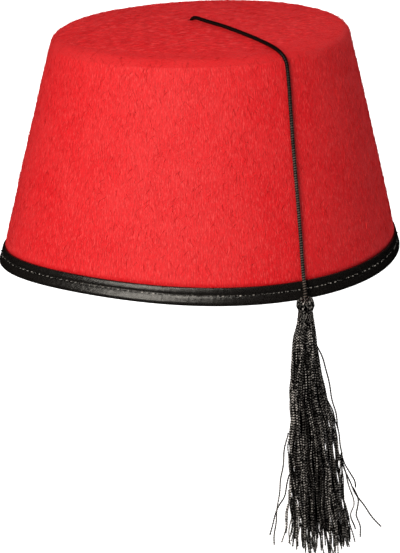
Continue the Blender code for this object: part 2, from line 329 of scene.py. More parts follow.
def frames_along(path):
    """Two directions across the way at each point, turned as little as possible from one to the next."""
    heading = np.gradient(path, axis=0)
    heading /= np.linalg.norm(heading, axis=1)[:, None]
    across = np.empty_like(path)
    side = np.cross(heading[0], (0.0, 0.0, 1.0))
    if np.linalg.norm(side) < 0.1:
        side = np.cross(heading[0], (0.0, 1.0, 0.0))
    for place, ahead in enumerate(heading):
        side = side - ahead * (side @ ahead)
        side /= np.linalg.norm(side)
        across[place] = side
    return across, np.cross(heading, across)


shown_way = smooth_path(ROUTE, RING_STEP)
whole_way = np.vstack([shown_way[:-1], smooth_path((ROUTE[-1],) + INSIDE_TASSEL, HIDDEN_RING_STEP)])
shown_length = float(distances_along(shown_way)[-1])

# %% [markdown]
# ## The wound cord
# The cord is a core with thread wound closely round it, so its surface is a row of fine ridges, a little
# more than a millimetre apart. A round tube with a painted stripe would stay smooth at its outline. Here
# the ridges are real: the radius of each ring swells and sinks along a slow helix.

# %% Wound cord
WINDING_PITCH = 0.00124
WINDING_DEPTH = 0.20
RIDGE_ROUNDNESS = 0.8
CREST_SHARPNESS = 10
CORD_SIDES = 12
THREAD_BLACK = (0.0014, 0.0010, 0.0009, 1)
THREAD_CREST_HIGHLIGHT = (0.22, 0.175, 0.150, 1)
HANGING_TOP = 0.120
HANGING_FADE = 0.055


def tube_rings(way, across, beside, radius):
    """Rings of points round a way, as far out as radius says."""
    angles = angles_round(CORD_SIDES)
    outward = across[:, None] * np.cos(angles)[:, None] + beside[:, None] * np.sin(angles)[:, None]
    return way[:, None] + radius * outward


def make_cord(material):
    away = distances_along(whole_way)
    turns = away[:, None] / WINDING_PITCH - angles_round(CORD_SIDES) / (2 * math.pi)
    fades = np.clip((shown_length - away) / WINDING_PITCH, 0, 1)[:, None]
    ridge = np.abs(np.sin(math.pi * turns)) ** RIDGE_ROUNDNESS
    radius = CORD / 2 * (1 - WINDING_DEPTH * (1 - ridge) * fades)
    rings = tube_rings(whole_way, *frames_along(whole_way), radius[..., None])
    mesh = skin("cord", rings, whole_way[0], whole_way[-1], around=math.pi * CORD, along=away)
    # The crest value marks the tops of the ridges, where the finish paints its highlight.
    crest = mesh.attributes.new("crest", "FLOAT", "POINT")
    crest.data.foreach_set("value", np.append(np.clip(ridge, 0, 1).ravel() ** CREST_SHARPNESS, (0.0, 0.0)))
    return show_piece("wound_cord", mesh, material)


def finish_cord_thread():
    """Black thread with soft shine; warm grey on the hanging part's ridge crests is a painted highlight."""
    material, tree, shader = new_finish("wound_black_thread", roughness=0.40, specular=0.16)
    place = position_of(tree)
    # Painted highlight: warm grey on the ridge crests, in noisy patches, growing down the hanging part.
    highlight_patches = remap(tree, noise_of(tree, place, 0.0016, 3), 0.35, 0.60, 0.35, 1.0)
    height = parts_of(tree, place)["Z"]
    hanging = remap(tree, height, HANGING_TOP, HANGING_TOP - HANGING_FADE, 0.05, 1.0)
    painted_highlight = math_of(tree, "MULTIPLY", math_of(tree, "MULTIPLY", highlight_patches, hanging), value_of(tree, "crest"))
    link_inputs(tree, shader, {
        "Base Color": mix_colours(tree, painted_highlight, THREAD_BLACK, THREAD_CREST_HIGHLIGHT),
        "Normal": bump_of(tree, noise_of(tree, place, 0.00025, 2), 0.00008, 0.6),
    })
    return material


cord_thread = finish_cord_thread()
cord = make_cord(cord_thread)
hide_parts("cord")

# %% [markdown]
# ## The knot under the top
# A plain overhand knot keeps the cord from slipping out. It hides inside the hat, but it shows from below.
# A trefoil is the path of such a knot pulled tight, and the same kind of tube follows it.

# %% Knot
KNOT_LOOP = 0.00080
KNOT_HEIGHT = 1.35
KNOT_POINTS = 150


def make_knot(material):
    low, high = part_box("cord_knot")
    middle = np.array((low + high) / 2)
    turn = angles_round(KNOT_POINTS)
    way = middle + KNOT_LOOP * np.stack([
        np.sin(turn) + 2 * np.sin(2 * turn),
        np.cos(turn) - 2 * np.cos(2 * turn),
        -KNOT_HEIGHT * np.sin(3 * turn),
    ], axis=-1)
    way = np.vstack([way, way[:1]])
    heading = np.gradient(way, axis=0)
    heading[0] = heading[-1] = way[1] - way[-2]
    heading /= np.linalg.norm(heading, axis=1)[:, None]
    across = np.cross(heading, way - middle)
    across /= np.linalg.norm(across, axis=1)[:, None]
    rings = tube_rings(way, across, np.cross(heading, across), CORD / 2)
    mesh = skin("knot", rings[:-1], closed=True, around=math.pi * CORD, along=distances_along(way)[:-1])
    return show_piece("knot_under_top", mesh, material)


knot = make_knot(cord_thread)
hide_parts("cord_knot")

# %% [markdown]
# ## The shape of the hat
# The crown is a tapered oval. Its rim and its top differ a little from an ellipse, and neither is quite
# level, as on any hat that has been worn; the side also bows out a little at both ends. One function gives
# every point of it from a bearing, in degrees from the wearer's left, and a height. The felt, the tape and
# the stitches all read it, so they always fit each other.

# %% Hat shape
RIM_LENGTH = 0.2074
RIM_WIDTH = 0.1726
TOP_LENGTH = 0.1514
TOP_WIDTH = 0.1270
SIDE_HEIGHT = 0.1200
TOP_SHIFT = 0.0037
TOP_DOME = 0.0044
EDGE_RADIUS = 0.0060
FELT = 0.0020
TAPE = 0.0010
TAPE_HEIGHT = 0.0090
TAPE_PROUD = 0.0008
GAP = 0.0003

Wave = namedtuple("Wave", "name count at_rim at_top crest")
OVAL_WAVES = (
    Wave("egg", 3, 0.016, 0.016, 26),
    Wave("drawn_ends", 4, 0.011, 0.0, 0),
)
LEVEL_WAVES = (
    Wave("rim_tilt", 1, 0.010, 0.0, -4),
    Wave("rim_saddle", 2, 0.019, 0.0, -50),
    Wave("top_tilt", 1, 0.0, 0.012, -139),
    Wave("top_settled", 1, 0.0, 0.004, 90),
)
BOW_WAVES = (
    Wave("all_round", 0, 0.001, 0.001, 0),
    Wave("both_ends", 2, 0.004, 0.004, 95),
    Wave("rear_end", 1, 0.002, 0.002, 95),
)
RIM_SETTLED = 0.0005
ALL_ROUND = np.linspace(0, 360, 3601)


def blend(start, end, share):
    return start + (end - start) * share


def ripple(waves, bearings, share):
    """Sums a table of waves at some bearings, with share 0 at the rim and 1 at the top."""
    return sum(
        blend(wave.at_rim, wave.at_top, share) * np.cos(wave.count * np.radians(bearings - wave.crest))
        for wave in waves
    )


def hat_points(bearings, height, inset=0.0, shrink=1.0):
    """Points of the hat at a height: on the side's oval, moved in by inset, then drawn in by shrink."""
    share = np.minimum(height / SIDE_HEIGHT, 1.0)
    rise = shrink * SIDE_HEIGHT * ripple(LEVEL_WAVES, bearings, share)
    up_side = share + rise / SIDE_HEIGHT
    half_width = blend(RIM_WIDTH, TOP_WIDTH, up_side) / 2 - inset
    half_length = blend(RIM_LENGTH, TOP_LENGTH, up_side) / 2 - inset
    bow = np.sin(math.pi * (1 - share)) * ripple(BOW_WAVES, bearings, share)
    reach = shrink * (1 + ripple(OVAL_WAVES, bearings, share) + bow)
    angles = np.radians(bearings)
    x = half_width * np.cos(angles) * reach
    y = half_length * np.sin(angles) * reach + TOP_SHIFT * up_side
    return np.stack([x, y, height + rise - RIM_SETTLED * (1 - share)], axis=-1)


def bearings_at(shares, height):
    """The bearings at some shares of the way round the hat at a height."""
    away = distances_along(hat_points(ALL_ROUND, height))
    return np.interp(np.asarray(shares) * away[-1], away, ALL_ROUND)


def even_bearings(count, height):
    """Bearings whose points are equally far apart along the hat at a height."""
    return bearings_at(np.arange(count) / count, height)


rim_length = float(distances_along(hat_points(ALL_ROUND, TAPE_HEIGHT / 2))[-1])
print("round the rim:", round(rim_length, 4), "m")

# %% [markdown]
# ## The felt crown
# Real felt is a thick mat with no seams: it is steamed and pressed over a block. So the crown is one closed
# shell with an outside and an inside, two millimetres apart, and it keeps the small dents and creases of
# handling. The dents are pushed into the fine mesh along its own normals. A hole for the cord is cut last.

# %% Felt crown
FELT_AROUND = 288
SIDE_ROW = 0.0016
EDGE_STEPS = 10
TOP_ROWS = 28
INSIDE_ROWS = 12
HOLE_SLACK = 0.0007
DENT_DEPTH = 0.00030
DENT_SIZE = 0.034
LOWER_EDGE_ROWS = 9
DENT_FREE = 0.010
HOLE_SIDES = 24
CUTTER_REACH = 0.008

Crease = namedtuple("Crease", "bearing height bearing_end height_end width depth")
CREASES = (
    Crease(24, 0.096, 25, 0.078, 0.0022, -0.00022),
    Crease(34, 0.092, 35, 0.076, 0.0020, -0.00018),
    Crease(14, 0.066, 20, 0.054, 0.0030, 0.00022),
    Crease(-42, 0.040, -28, 0.088, 0.0060, 0.00020),
    Crease(-64, 0.030, -50, 0.070, 0.0060, -0.00018),
)


def side_lean():
    """How far the side leans in from upright, as the mean of its length and its width."""
    return math.atan((RIM_LENGTH - TOP_LENGTH + RIM_WIDTH - TOP_WIDTH) / 4 / SIDE_HEIGHT)


def top_inset():
    """How far in from the corner of side and top the rounded edge ends."""
    return EDGE_RADIUS * math.tan((math.pi / 2 - side_lean()) / 2)


def edge_rows(radius, steps):
    """The rounded edge between side and top, as rows of height, inset and shrink."""
    rows = []
    for angle in np.linspace(side_lean(), math.pi / 2, steps + 1):
        height = SIDE_HEIGHT - EDGE_RADIUS + radius * math.sin(angle)
        side_in = (SIDE_HEIGHT - height) * math.tan(side_lean())
        rows.append((height, side_in + top_inset() - radius * math.cos(angle), 1.0))
    return rows


def top_rows(level, count):
    """The domed top inside its rounded edge, without its middle point."""
    shrinks = np.linspace(1, 0, count + 1)[1:-1]
    return [(level + TOP_DOME * (1 - shrink ** 2), top_inset(), shrink) for shrink in shrinks]


def crown_rows():
    """The felt's section from the middle of its inside down, round the lower edge and up to the top."""
    pressed = TAPE + GAP - TAPE_PROUD
    grip_top = TAPE_HEIGHT + GAP
    edge_start = edge_rows(EDGE_RADIUS, 1)[0][0]
    side = np.linspace(grip_top + pressed, edge_start, round((edge_start - grip_top) / SIDE_ROW))
    outside = [(grip_top, pressed, 1.0)] + [(height, 0.0, 1.0) for height in side[:-1]]
    outside += edge_rows(EDGE_RADIUS, EDGE_STEPS) + top_rows(SIDE_HEIGHT, TOP_ROWS)
    side = np.linspace(grip_top + pressed, edge_start, INSIDE_ROWS)
    inside = [(grip_top, FELT - pressed, 1.0)] + [(height, FELT, 1.0) for height in side[:-1]]
    inside += edge_rows(EDGE_RADIUS - FELT, EDGE_STEPS // 2) + top_rows(SIDE_HEIGHT - FELT, INSIDE_ROWS)
    lower, reach = [], FELT / 2 - pressed
    for angle in np.linspace(-math.pi, 0, LOWER_EDGE_ROWS):
        height = FELT / 2 + TAPE_PROUD + reach * math.sin(angle)
        lower.append((height, FELT / 2 - reach * math.cos(angle), 1.0))
    return inside[::-1] + lower + outside, len(inside) + len(lower)


def crease_depth(bearings, heights):
    """How far the creases push the felt out or in at each bearing and height, along its side."""
    depth = np.zeros_like(bearings)
    reach = (RIM_LENGTH + TOP_LENGTH) / 4
    for crease in CREASES:
        start = np.array((math.radians(crease.bearing) * reach, crease.height))
        end = np.array((math.radians(crease.bearing_end) * reach, crease.height_end))
        around = np.radians((bearings - crease.bearing + 180) % 360 - 180 + crease.bearing) * reach
        point = np.stack([around, heights], axis=-1)
        share = np.clip(((point - start) @ (end - start)) / ((end - start) @ (end - start)), 0, 1)
        away = np.linalg.norm(point - (start + share[..., None] * (end - start)), axis=-1)
        depth -= crease.depth * np.exp(-(away / crease.width) ** 2)
    return depth


def noise_at(points, size, layer=0.0):
    """Smooth noise at some points, with grains about size metres wide."""
    return np.array([noise.noise(Vector((0.0, 0.0, layer)) + Vector(point) / size) for point in points])


def cut_cord_hole(crown):
    """Cuts the hole that the cord comes up through."""
    start, end = Vector(ROUTE[0]), Vector(ROUTE[2])
    angles = angles_round(HOLE_SIDES)
    circle = np.stack([np.cos(angles), np.sin(angles), 0 * angles], axis=-1) * (CORD / 2 + HOLE_SLACK)
    low, high = (0, 0, -CUTTER_REACH), (0, 0, CUTTER_REACH)
    cutter = new_object("hole_cutter", skin("hole_cutter", [circle + low, circle + high], low, high))
    turn = (end - start).to_track_quat("Z", "Y").to_matrix().to_4x4()
    cutter.matrix_world = Matrix.Translation((start + end) / 2) @ turn
    cut = crown.modifiers.new("cord_hole", "BOOLEAN")
    cut.operation = "DIFFERENCE"
    cut.solver = "EXACT"
    cut.object = cutter
    whole = evaluated_mesh(crown)
    crown.modifiers.clear()
    crown.data = whole
    bpy.data.objects.remove(cutter, do_unlink=True)


def make_crown(material):
    rows, outside_from = crown_rows()
    bearings = np.arange(FELT_AROUND) * 360 / FELT_AROUND
    rings = np.stack([hat_points(bearings, *row) for row in rows])
    inside_middle = hat_points(0.0, SIDE_HEIGHT - FELT + TOP_DOME, top_inset(), 0.0)
    top_middle = hat_points(0.0, SIDE_HEIGHT + TOP_DOME, top_inset(), 0.0)
    outward = np.gradient(rings, axis=0)
    around = np.roll(rings, -1, axis=1) - np.roll(rings, 1, axis=1)
    normal = np.cross(around, outward)
    normal /= np.linalg.norm(normal, axis=-1)[..., None]
    heights = np.array([row[0] for row in rows])
    shift = noise_at(rings.reshape(-1, 3), DENT_SIZE).reshape(rings.shape[:2]) * DENT_DEPTH
    shift += crease_depth(*np.broadcast_arrays(bearings, heights[:, None]))
    fade = np.clip((heights - TAPE_HEIGHT) / DENT_FREE, 0, 1) * (np.arange(len(rows)) >= outside_from)
    rings += normal * (shift * fade[:, None])[..., None]
    mesh = skin("felt_crown", rings, inside_middle, top_middle, around=rim_length)
    crown = show_piece("pressed_felt", mesh, material)
    cut_cord_hole(crown)
    return crown


# %% [markdown]
# ## The felt's finish
# Up close, felt is a tangle of hairs. They lie mostly up and down the side, because the felt was drawn down
# over the block, and mostly in one direction across the top. Noise that is stretched along the hairs gives
# the streaks. On the tapered side the noise is spread by the taper, so a streak stays in line from rim to
# top. Fine grains and pale flecks give the speckle.

# %% Felt finish
FELT_RED = (0.93, 0.006, 0.013, 1)
FELT_DEEP = (0.62, 0.001, 0.005, 1)
FELT_LIGHT = (1.00, 0.060, 0.062, 1)
HAIR = 0.00060
HAIR_STRETCH = 0.14
GRAIN = 0.00050
FLECK = 0.00055
CLOUD = 0.018
FELT_RELIEF = 0.00042
TOP_STRETCH = (0.32, 0.15, 1.0)
TAPER = (RIM_WIDTH + RIM_LENGTH - TOP_WIDTH - TOP_LENGTH) / (RIM_WIDTH + RIM_LENGTH) / SIDE_HEIGHT


def hair_coordinates(tree, place):
    """Coordinates that are stretched along the hairs of the side, and along those of the top."""
    parts = parts_of(tree, place)
    narrowing = math_of(tree, "MULTIPLY_ADD", parts["Z"], -TAPER, 1.0)
    side = output_of(tree, "ShaderNodeCombineXYZ", {
        "X": math_of(tree, "DIVIDE", parts["X"], narrowing),
        "Y": math_of(tree, "DIVIDE", parts["Y"], narrowing),
        "Z": math_of(tree, "MULTIPLY", parts["Z"], HAIR_STRETCH),
    })
    is_top = remap(tree, parts["Z"], SIDE_HEIGHT - EDGE_RADIUS * 0.8, SIDE_HEIGHT, 0.0, 1.0)
    node = add_node(tree, "ShaderNodeMix", data_type="VECTOR")
    link_inputs(tree, node, {"Factor": is_top, 4: side, 5: stretched(tree, place, TOP_STRETCH)})
    return node.outputs[1]


def finish_felt():
    material, tree, shader = new_finish("pressed_red_felt", roughness=0.58, specular=0.34)
    place = position_of(tree)
    hairs = hair_coordinates(tree, place)
    streaks = noise_of(tree, hairs, HAIR, 3, 0.6)
    grains = noise_of(tree, stretched(tree, place, (1, 1, 0.6)), GRAIN, 2, 0.6)
    clouds = noise_of(tree, place, CLOUD, 3)
    flecks = noise_of(tree, stretched(tree, hairs, (1, 1, 1.6)), FLECK, 2, 0.6)
    fine = math_of(tree, "MULTIPLY_ADD", streaks, 0.6, math_of(tree, "MULTIPLY", grains, 0.4))
    colour = mix_colours(tree, remap(tree, fine, 0.36, 0.60, 0.0, 1.0), FELT_DEEP, FELT_RED)
    colour = mix_colours(tree, remap(tree, clouds, 0.3, 0.8, 0.0, 0.25), colour, FELT_LIGHT)
    colour = mix_colours(tree, remap(tree, flecks, 0.53, 0.68, 0.0, 0.9), colour, FELT_LIGHT)
    height = math_of(tree, "MULTIPLY_ADD", streaks, 0.5, math_of(tree, "MULTIPLY", grains, 0.5))
    link_inputs(tree, shader, {"Base Color": colour, "Normal": bump_of(tree, height, FELT_RELIEF, 0.9)})
    return material


red_felt = finish_felt()
crown = make_crown(red_felt)
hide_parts("felt_crown")

# %% [markdown]
# ## The satin tape round the rim
# A strip of satin, cut on the bias, is folded over the edge of the felt and sewn through all the layers.
# The seam pulls the tape in at each stitch, so the cloth puckers above the seam and rolls full below it.
# The tape is built as a closed section that follows the rim, with eight columns of points for each stitch,
# so that the puckers are real folds. It was cut as a flat strip.

# %% Satin tape
STITCHES = 192
COLUMNS_PER_STITCH = 8
SEAM_HEIGHT = 0.0054
SEAM_WIDTH = 0.0007
SEAM_DEPTH = 0.00032
LOWER_ROLL = 0.00060
ROLL_HEIGHT = 0.0013
UPPER_ROLL = 0.00016
PUCKER = 0.00006
WRINKLE = 0.00007
OUTER_ROWS = 15
FOLD_ROWS = 8
JOIN_BEARING = -16.0
JOIN_STEP = 0.00025
JOIN_EDGE = 0.35
JOIN_REACH = 9.0
CREASE_SIZE = 0.0035
CROSSING_SIZE = 0.0018
INNER_ROWS = 8
UNDER_ROWS = 5
SATIN_DARK = (0.0035, 0.0028, 0.0028, 1)
SATIN_BLACK = (0.012, 0.010, 0.009, 1)
SATIN_DUST = (0.05, 0.045, 0.04, 1)
WEAVE = 0.0007

fold_in = FELT / 2
fold_height = FELT / 2 + TAPE_PROUD
outer_radius = FELT / 2 + TAPE_PROUD
inner_radius = outer_radius - TAPE


def tape_relief(away, height):
    """How far the tape's outside stands out at a distance round the rim and a height."""
    stitch = away / rim_length * STITCHES
    seam = np.exp(-((height - SEAM_HEIGHT) / SEAM_WIDTH) ** 2)
    between = 0.5 + 0.5 * np.cos(2 * math.pi * stitch)
    roll = np.where(
        height < SEAM_HEIGHT,
        LOWER_ROLL * np.clip((SEAM_HEIGHT - height) / (SEAM_HEIGHT - ROLL_HEIGHT), 0, 1) ** 0.8,
        UPPER_ROLL * np.sin(math.pi * np.clip((height - SEAM_HEIGHT) / (TAPE_HEIGHT - SEAM_HEIGHT), 0, 1)),
    )
    pucker = np.exp(-((height - SEAM_HEIGHT) / (SEAM_WIDTH * 2.4)) ** 2) * (between - 0.5) * 2 * PUCKER
    return roll + pucker - SEAM_DEPTH * seam * (0.6 + 0.4 * between)


def tape_section():
    """The U of the tape: down its outside, round the fold, up inside, and back along the felt."""
    rows = []
    top = TAPE_HEIGHT
    for height in np.linspace(top, fold_height, OUTER_ROWS):
        rows.append((height, fold_in - outer_radius, "outside"))
    for angle in np.linspace(0, math.pi, FOLD_ROWS)[1:-1]:
        full = outer_radius + LOWER_ROLL * math.cos(angle / 2) ** 2
        rows.append((fold_height - full * math.sin(angle), fold_in - full * math.cos(angle), "fold"))
    for height in np.linspace(fold_height, top, INNER_ROWS):
        rows.append((height, fold_in + outer_radius, "inside"))
    for height in (top, (top + fold_height) / 2, fold_height):
        rows.append((height, fold_in + inner_radius, "hidden"))
    for angle in np.linspace(math.pi, 0, UNDER_ROWS)[1:-1]:
        height = fold_height - inner_radius * math.sin(angle)
        rows.append((height, fold_in - inner_radius * math.cos(angle), "hidden"))
    for height in (fold_height, (top + fold_height) / 2, top):
        rows.append((height, fold_in - inner_radius, "hidden"))
    return rows


def tape_join(bearings):
    """The doubled part where the tape ends over its start: a sharp edge, then a slow way back."""
    past = bearings - JOIN_BEARING % 360
    return np.clip(past / JOIN_EDGE, 0, 1) * np.clip(1 - past / JOIN_REACH, 0, 1)


def make_tape(material):
    count = STITCHES * COLUMNS_PER_STITCH
    bearings = even_bearings(count, TAPE_HEIGHT / 2)
    away = np.arange(count) * rim_length / count
    low_on_tape = hat_points(bearings, 0.004)
    creases = WRINKLE * noise_at(low_on_tape, CREASE_SIZE, layer=9.0)
    crossings = WRINKLE * 0.5 * noise_at(low_on_tape, CROSSING_SIZE)
    rings, along, reach = [], [], 0.0
    for height, inset, part in tape_section():
        outward = np.zeros(count)
        if part == "outside":
            outward = tape_relief(away, height) + creases + crossings + JOIN_STEP * tape_join(bearings)
        elif part == "fold":
            outward = creases * 0.6
        elif part == "inside":
            outward = -0.6 * tape_relief(away, height)
        ring = hat_points(bearings, height, inset - outward)
        if rings:
            reach += float(np.linalg.norm(ring[0] - rings[-1][0]))
        rings.append(ring)
        along.append(reach)
    mesh = skin("tape", np.stack(rings), closed=True, around=rim_length, along=along)
    return show_piece("satin_tape", mesh, material)


def finish_satin():
    """Black satin on the bias: a fine diagonal weave that breaks its shine into specks."""
    material, tree, shader = new_finish("black_bias_satin", roughness=0.28, specular=0.85)
    surface = output_of(tree, "ShaderNodeUVMap", uv_map="surface")
    turned = output_of(tree, "ShaderNodeMapping", {"Vector": surface, "Rotation": (0, 0, math.radians(45))})
    weave = add_node(tree, "ShaderNodeTexWave", {
        "Vector": turned, "Scale": 1 / WEAVE / math.pi, "Distortion": 1.2, "Detail": 2, "Detail Scale": 1.5,
    }, wave_type="BANDS").outputs["Fac"]
    place = position_of(tree)
    specks = noise_of(tree, place, 0.00050, 2, 0.6)
    dust = remap(tree, noise_of(tree, place, 0.0008, 2), 0.56, 0.72, 0.0, 0.30)
    colour = mix_colours(tree, specks, SATIN_DARK, SATIN_BLACK)
    height = math_of(tree, "MULTIPLY_ADD", weave, 0.4, math_of(tree, "MULTIPLY", specks, 0.6))
    link_inputs(tree, shader, {
        "Base Color": mix_colours(tree, dust, colour, SATIN_DUST),
        "Roughness": remap(tree, specks, 0.3, 0.7, 0.22, 0.38),
        "Normal": bump_of(tree, height, 0.00014, 0.9),
    })
    return material


black_satin = finish_satin()
tape = make_tape(black_satin)
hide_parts("edge_binding")

# %% [markdown]
# ## A tree of nodes for every thread
# The tassel, its wrap and the stitches are all thread, so one Geometry Nodes tree makes them. It takes
# guide lines, puts points on them at an even step, and sweeps a small section along, turned a little more
# at each point. Two plies that are twisted together are twice as wide as they are thick, so the section is
# a flat diamond. Each point keeps how many turns the thread has made so far, and each thread one random
# value, for the thread's colour. From the turns the material paints a pale crest twice a turn, a painted
# highlight, with a dark gap between two crests, as a row of dots. The tree ends with real faces and one
# material.

# %% Yarn tree
def new_tree(name, inputs, output):
    """A Geometry Nodes tree with an input for each name, kind and value, and where to read them."""
    tree = bpy.data.node_groups.new(name, "GeometryNodeTree")
    for label, kind, value in inputs:
        socket = tree.interface.new_socket(label, in_out="INPUT", socket_type="NodeSocket" + kind)
        if value is not None:
            socket.default_value = value
    tree.interface.new_socket(output, in_out="OUTPUT", socket_type="NodeSocketGeometry")
    return tree, tree.nodes.new("NodeGroupInput").outputs


def finish_tree(tree, geometry, material):
    """Ends a tree with real faces and one material."""
    real = output_of(tree, "GeometryNodeRealizeInstances", {0: geometry})
    add_node(tree, "NodeGroupOutput", {
        0: output_of(tree, "GeometryNodeSetMaterial", {"Geometry": real, "Material": material}),
    })


def keep_value(tree, geometry, label, value, domain="POINT"):
    """Stores a value under a name that a material can read, on each point or each instance."""
    inputs = {"Geometry": geometry, "Name": label, "Value": value}
    return output_of(tree, "GeometryNodeStoreNamedAttribute", inputs, data_type="FLOAT", domain=domain)


def yarn_tree():
    tree, given = new_tree("twisted_yarn", (
        ("Guides", "Geometry", None),
        ("Yarn radius", "Float", 0.0003),
        ("Flatness", "Float", 0.56),
        ("Twist length", "Float", 0.0024),
        ("Step", "Float", 0.0004),
        ("Sides", "Int", 4),
        ("Seed", "Int", 1),
        ("Material", "Material", None),
    ), "Yarn")
    curves = output_of(tree, "GeometryNodeMeshToCurve", {"Mesh": given["Guides"]})
    steps = {"Curve": curves, "Length": given["Step"]}
    curves = output_of(tree, "GeometryNodeResampleCurve", steps, mode="LENGTH")
    length = add_node(tree, "GeometryNodeSplineParameter").outputs["Length"]
    number = add_node(tree, "GeometryNodeCurveOfPoint").outputs["Curve Index"]
    start = add_node(tree, "FunctionNodeRandomValue", {"Seed": given["Seed"], "ID": number}).outputs[1]
    turns = math_of(tree, "ADD", math_of(tree, "DIVIDE", length, given["Twist length"]), start)
    curves = keep_value(tree, curves, "shade", start)
    curves = keep_value(tree, curves, "turns", turns)
    tilt = math_of(tree, "MULTIPLY", turns, 2 * math.pi)
    curves = output_of(tree, "GeometryNodeSetCurveTilt", {"Curve": curves, "Tilt": tilt})
    section = {"Resolution": given["Sides"], "Radius": given["Yarn radius"]}
    section = output_of(tree, "GeometryNodeCurvePrimitiveCircle", section)
    flat = output_of(tree, "ShaderNodeCombineXYZ", {"X": 1.0, "Y": given["Flatness"], "Z": 1.0})
    section = output_of(tree, "GeometryNodeTransform", {"Geometry": section, "Scale": flat})
    swept = {"Curve": curves, "Profile Curve": section, "Fill Caps": True}
    finish_tree(tree, output_of(tree, "GeometryNodeCurveToMesh", swept), given["Material"])
    return tree


def guide_mesh(name, guides):
    """One mesh of loose edges that follow the guide lines."""
    mesh = bpy.data.meshes.new(name)
    points = np.vstack(guides)
    ends = np.cumsum([len(guide) for guide in guides])
    edges = np.stack([np.arange(len(points) - 1), np.arange(1, len(points))], axis=-1)
    edges = np.delete(edges, ends[:-1] - 1, axis=0)
    mesh.from_pydata(points.tolist(), edges.tolist(), [])
    return mesh


def grow(name, mesh, tree, sizes):
    """Runs a tree on a mesh, and keeps what it makes as one plain piece."""
    host = new_object(name, mesh)
    growth = host.modifiers.new("growth", "NODES")
    growth.node_group = tree
    for socket in tree.interface.items_tree:
        if socket.in_out == "INPUT" and socket.name in sizes:
            growth[socket.identifier] = sizes[socket.name]
    made = evaluated_mesh(host)
    bpy.data.objects.remove(host, do_unlink=True)
    return show_piece(name, made, sizes["Material"])


yarn = yarn_tree()
print("yarn tree:", len(yarn.nodes), "nodes")

# %% [markdown]
# ## Loose fibres of the felt
# Pressed felt is never quite smooth: fine hairs stand a little off it and blur its edge. A second tree
# scatters points over the outside of the crown and puts one short bent hair on each. The hairs lie the way
# the felt was drawn, down the side and along the top, and each is turned a little by chance. They are as
# red as the felt, some lighter and some darker.

# %% Felt fibres
FIBRE_LENGTH = 0.0040
FIBRE_RADIUS = 0.00007
FIBRES_PER_M2 = 118000.0
BARE_ABOVE_TAPE = 0.004


def lying_rotation(tree, normal):
    """A turn that lays a hair on the felt, down the side or along the top, with some chance in it."""
    upright = parts_of(tree, normal)["Z"]
    is_top = {0: upright, 1: 0.7}
    is_top = output_of(tree, "FunctionNodeCompare", is_top, data_type="FLOAT", operation="GREATER_THAN")
    along = {"Switch": is_top, "False": (0, 0, 1), "True": (0, 1, 0.001)}
    along = output_of(tree, "GeometryNodeSwitch", along, input_type="VECTOR")
    flat = {0: normal, 1: along}
    flat = output_of(tree, "FunctionNodeAxesToRotation", flat, primary_axis="Z", secondary_axis="X")
    chance = {0: (0.0, -0.16, -0.9), 1: (0.0, 0.02, 0.9), "Seed": 4}
    chance = output_of(tree, "FunctionNodeRandomValue", chance, data_type="FLOAT_VECTOR")
    return output_of(tree, "FunctionNodeRotateRotation", {0: flat, 1: chance}, rotation_space="LOCAL")


def outside_of_crown(tree):
    """True where a face looks away from the hat's middle and lies above the tape."""
    normal = output_of(tree, "GeometryNodeInputNormal")
    place = output_of(tree, "GeometryNodeInputPosition")
    middle = (0, 0, SIDE_HEIGHT / 2)
    from_middle = output_of(tree, "ShaderNodeVectorMath", {0: place, 1: middle}, operation="SUBTRACT")
    outward = {0: from_middle, 1: normal}
    outward = add_node(tree, "ShaderNodeVectorMath", outward, operation="DOT_PRODUCT").outputs["Value"]
    above = math_of(tree, "GREATER_THAN", parts_of(tree, place)["Z"], TAPE_HEIGHT + BARE_ABOVE_TAPE)
    return math_of(tree, "MULTIPLY", math_of(tree, "GREATER_THAN", outward, 0.0), above)


def fibre_tree():
    tree, given = new_tree("felt_fibres", (
        ("Felt", "Geometry", None),
        ("Length", "Float", 0.003),
        ("Radius", "Float", 0.00005),
        ("Density", "Float", 1000.0),
        ("Seed", "Int", 1),
        ("Material", "Material", None),
    ), "Fibres")
    scattered = add_node(tree, "GeometryNodeDistributePointsOnFaces", {
        "Mesh": given["Felt"], "Selection": outside_of_crown(tree),
        "Density": given["Density"], "Seed": given["Seed"],
    }).outputs
    bend = output_of(tree, "GeometryNodeCurveQuadraticBezier", {
        "Resolution": 3, "Start": (-0.5, 0.0, -0.01), "Middle": (0.0, 0.12, 0.07), "End": (0.5, 0.0, 0.01),
    })
    size = output_of(tree, "ShaderNodeCombineXYZ", {axis: given["Length"] for axis in "XYZ"})
    bend = output_of(tree, "GeometryNodeTransform", {"Geometry": bend, "Scale": size})
    section = {"Resolution": 3, "Radius": given["Radius"]}
    section = output_of(tree, "GeometryNodeCurvePrimitiveCircle", section)
    hair = {"Curve": bend, "Profile Curve": section, "Fill Caps": True}
    hair = output_of(tree, "GeometryNodeCurveToMesh", hair)
    longer = {2: 0.5, 3: 1.3, "Seed": 8}
    longer = add_node(tree, "FunctionNodeRandomValue", longer, data_type="FLOAT").outputs[1]
    placed = output_of(tree, "GeometryNodeInstanceOnPoints", {
        "Points": scattered["Points"], "Instance": hair,
        "Rotation": lying_rotation(tree, scattered["Normal"]), "Scale": longer,
    })
    shade = add_node(tree, "FunctionNodeRandomValue", {"Seed": 12}).outputs[1]
    finish_tree(tree, keep_value(tree, placed, "shade", shade, "INSTANCE"), given["Material"])
    return tree


def finish_fibre():
    material, tree, shader = new_finish("red_felt_hair", roughness=0.6, specular=0.25)
    colour = mix_colours(tree, value_of(tree, "shade"), FELT_DEEP, FELT_LIGHT)
    link_inputs(tree, shader, {"Base Color": colour})
    return material


fibres = grow("felt_fibres", crown.data, fibre_tree(), {
    "Length": FIBRE_LENGTH, "Radius": FIBRE_RADIUS, "Density": FIBRES_PER_M2, "Seed": 3,
    "Material": finish_fibre(),
})
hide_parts("felt_crown")
